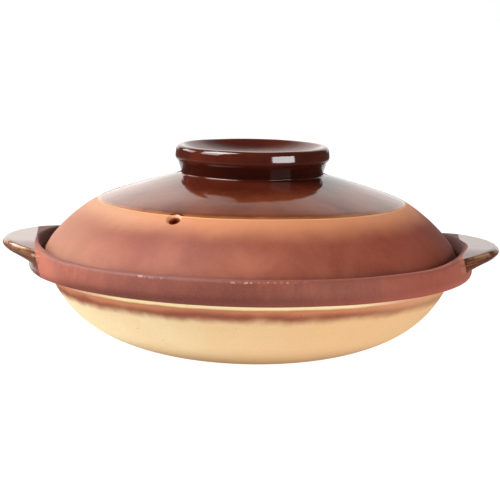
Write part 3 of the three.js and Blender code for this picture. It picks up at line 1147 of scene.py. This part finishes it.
# %% [markdown]
# ## Handing the pieces to the frame
#
# Each piece takes its finish, rides on the body that carries it, and stands in for the frame's own
# plain solid. The bowl, its glaze and the ears are one body, and the lid with its glaze and knob is
# the other, which lifts off.

# %% Finish, body and frame node of each piece
for piece, finish, slot, body, node in (
    (thrown_bowl, bowl_clay, "bowl_clay", "pot", "bowl"),
    (bowl_inner_glaze, brown_glaze, "brown_glaze", "pot", "bowl_lining_glaze"),
    (left_ear, dipped_ear, "brown_glaze", "pot", "left_handle"),
    (right_ear, dipped_ear, "brown_glaze", "pot", "right_handle"),
    (thrown_lid, lid_clay, "lid_clay", "lid", "lid"),
    (crown_glaze, brown_glaze, "brown_glaze", "lid", "lid_crown_glaze"),
    (lid_inner_glaze, brown_glaze, "brown_glaze", "lid", "lid_lining_glaze"),
    (ring_knob, brown_glaze, "brown_glaze", "lid", "lid_knob"),
):
    piece.data.materials.clear()
    piece.data.materials.append(finish)
    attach(piece, body)
    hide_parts(node)
    print(f"{piece.name} rides on {body} and stands for {node}")

# %% [markdown]
# ## The floor
#
# The pot stands on a white table that is lit from below as well, as product tables often are, so
# the pot's own shadow is faint. A glossy glaze would mirror so bright a table as a broad pale band.
# A photographer lays black cards in front and at the sides, just out of sight, against that, and
# here a Light Path node darkens the table there for reflections alone. Only a patch behind the pot
# stays uncovered.

# %% Lay the floor
table_width = 12
patch_full, patch_end = 0.3, 0.42
patch_start, patch_back = 0.1, 0.3


def grey(level):
    """A neutral colour, given as a linear value."""
    return (level, level, level, 1)


bpy.ops.object.select_all(action="DESELECT")
bpy.ops.mesh.primitive_plane_add(size=table_width, location=(0, 0, 0))
floor = bpy.context.object
floor.name = "floor"
white_table, tree, shader = start_finish("white_table")
shader.inputs["Base Color"].default_value = grey(0.12)
shader.inputs["Roughness"].default_value = 0.9
shader.inputs["Emission Strength"].default_value = 1
rays = add(tree, "LightPath").outputs
spot = add(tree, "SeparateXYZ", {0: add(tree, "TexCoord").outputs["Object"]}).outputs
near = between(tree, sums(tree, "ABSOLUTE", spot[0]), patch_end, patch_full)
uncovered = sums(tree, "MULTIPLY", near, between(tree, spot[1], patch_start, patch_back))
mirrored = over(tree, uncovered, grey(0.03), grey(0.9))
glow = over(tree, rays["Is Glossy Ray"], grey(0.95), mirrored)
tree.links.new(over(tree, rays["Is Camera Ray"], glow, grey(1)), shader.inputs["Emission Color"])
floor.data.materials.append(white_table)
print("Floor laid at height 0")

# %% [markdown]
# ## Light
#
# A large softbox on the left is the key. Two fills brighten the clay from both sides and are hidden
# from reflections, so they leave no mark in the glaze. Three more lights do the opposite and are
# only mirrored: a window on the right for the highlight on the knob, a window on the left, and a
# strip behind on the left that trims the ear's edge. These three are dimmed for rays that were
# mirrored twice, or the right window would show again in the knob's neck. Each light is given by
# its direction from the pot, as a photographer would point, and by how bright it looks.

# %% Set up the softboxes
middle = Vector((0, 0, 0.06))
second_mirror = 2.5  # a light node has counted two by the time of the first mirrored ray
dimmed = 0.1


def softbox(name, turn, rise, away, width, height, brightness):
    """An area light seen from the pot at a turn to the right of the camera and a rise, in degrees."""
    turn, rise = math.radians(turn), math.radians(rise)
    level = math.cos(rise)
    direction = Vector((math.sin(turn) * level, -math.cos(turn) * level, math.sin(rise)))
    bpy.ops.object.light_add(type="AREA", location=middle + away * direction)
    light = bpy.context.object
    light.name = name
    light.rotation_euler = direction.to_track_quat("Z", "Y").to_euler()
    light.data.shape = "RECTANGLE"
    light.data.size = width
    light.data.size_y = height
    light.data.energy = brightness * math.pi * width * height
    return light


def dim_second(light):
    """Dims a light for rays that have been mirrored twice."""
    light.data.use_nodes = True
    tree = light.data.node_tree
    first = sums(tree, "LESS_THAN", add(tree, "LightPath").outputs["Ray Depth"], second_mirror)
    strength = sums(tree, "MULTIPLY_ADD", first, 1 - dimmed, dimmed)
    tree.links.new(strength, tree.nodes["Emission"].inputs["Strength"])


# Each line gives the turn, the rise, how far away, the width, the height and the brightness.
softbox("key_softbox", -70, 52, 1.5, 0.95, 0.9, 8.8)
for fill in (
    softbox("left_fill", -92, 14, 1.5, 0.8, 0.6, 5),
    softbox("right_fill", 62, 12, 1.5, 0.8, 0.6, 3.2),
):
    fill.visible_glossy = False
for glint in (
    softbox("window_softbox", 46, 9, 1.5, 0.9, 0.4, 12),
    softbox("left_window", -68, 42, 1.45, 0.9, 1.5, 7),
    softbox("trim_strip", -118, 22, 1.6, 0.9, 0.5, 5),
):
    glint.visible_diffuse = False
    dim_second(glint)

# %% [markdown]
# ## The room
#
# The studio has a bright paper backdrop, which the flat glaze on the ears and the crown mirrors. It
# is dim in front, where the camera stands, at the sides and overhead. The World gets a colour by
# direction, and the camera itself sees plain white.

# %% Light the room
studio = bpy.data.worlds.new("studio")
studio.use_nodes = True
tree = studio.node_tree
bpy.context.scene.world = studio
direction = add(tree, "SeparateXYZ", {0: add(tree, "TexCoord").outputs["Generated"]}).outputs
behind = between(tree, direction[1], 0.1, 0.35)
aside = between(tree, sums(tree, "ABSOLUTE", direction[0]), 0.3, 0.6)
above = between(tree, direction[2], 0.48, 0.85)
paper = sums(tree, "MULTIPLY", sums(tree, "SUBTRACT", 1, aside), sums(tree, "SUBTRACT", 1, above))
right = between(tree, direction[0], -0.15, 0.15)
backdrop = over(tree, right, (1.5, 1.43, 1.36, 1), (1.16, 1.13, 1.1, 1))
room = over(tree, sums(tree, "MULTIPLY", behind, paper), grey(0.06), backdrop)
seen = over(tree, add(tree, "LightPath").outputs["Is Camera Ray"], room, grey(1))
tree.links.new(seen, tree.nodes["Background"].inputs["Color"])
bpy.context.scene.view_settings.view_transform = "Standard"
print("Room:", studio.name)

# %% [markdown]
# ## The camera
#
# The photograph was taken from a little above the rim, with a long lens from over a metre away, and
# the camera was held just off level. The roll is a turn about the camera's own axis, after it was
# pointed at the pot.

# %% Place the camera
camera_distance = 1.2
camera_rise = math.radians(8.25)
camera_roll = math.radians(1.15)
picture_width = 500
focal_length = 2064
off_centre = 0.7
aim = Vector((0, 0, 0.059))

eye = aim + camera_distance * Vector((0, -math.cos(camera_rise), math.sin(camera_rise)))
bpy.ops.object.camera_add(location=eye)
camera = bpy.context.object
camera.name = "camera"
look = (aim - eye).to_track_quat("-Z", "Y") @ Quaternion((0, 0, 1), camera_roll)
camera.rotation_euler = look.to_euler()
camera.data.lens = camera.data.sensor_width * focal_length / picture_width
camera.data.shift_x = -off_centre / picture_width
bpy.context.scene.camera = camera
print(f"Lens {camera.data.lens:.1f} mm")
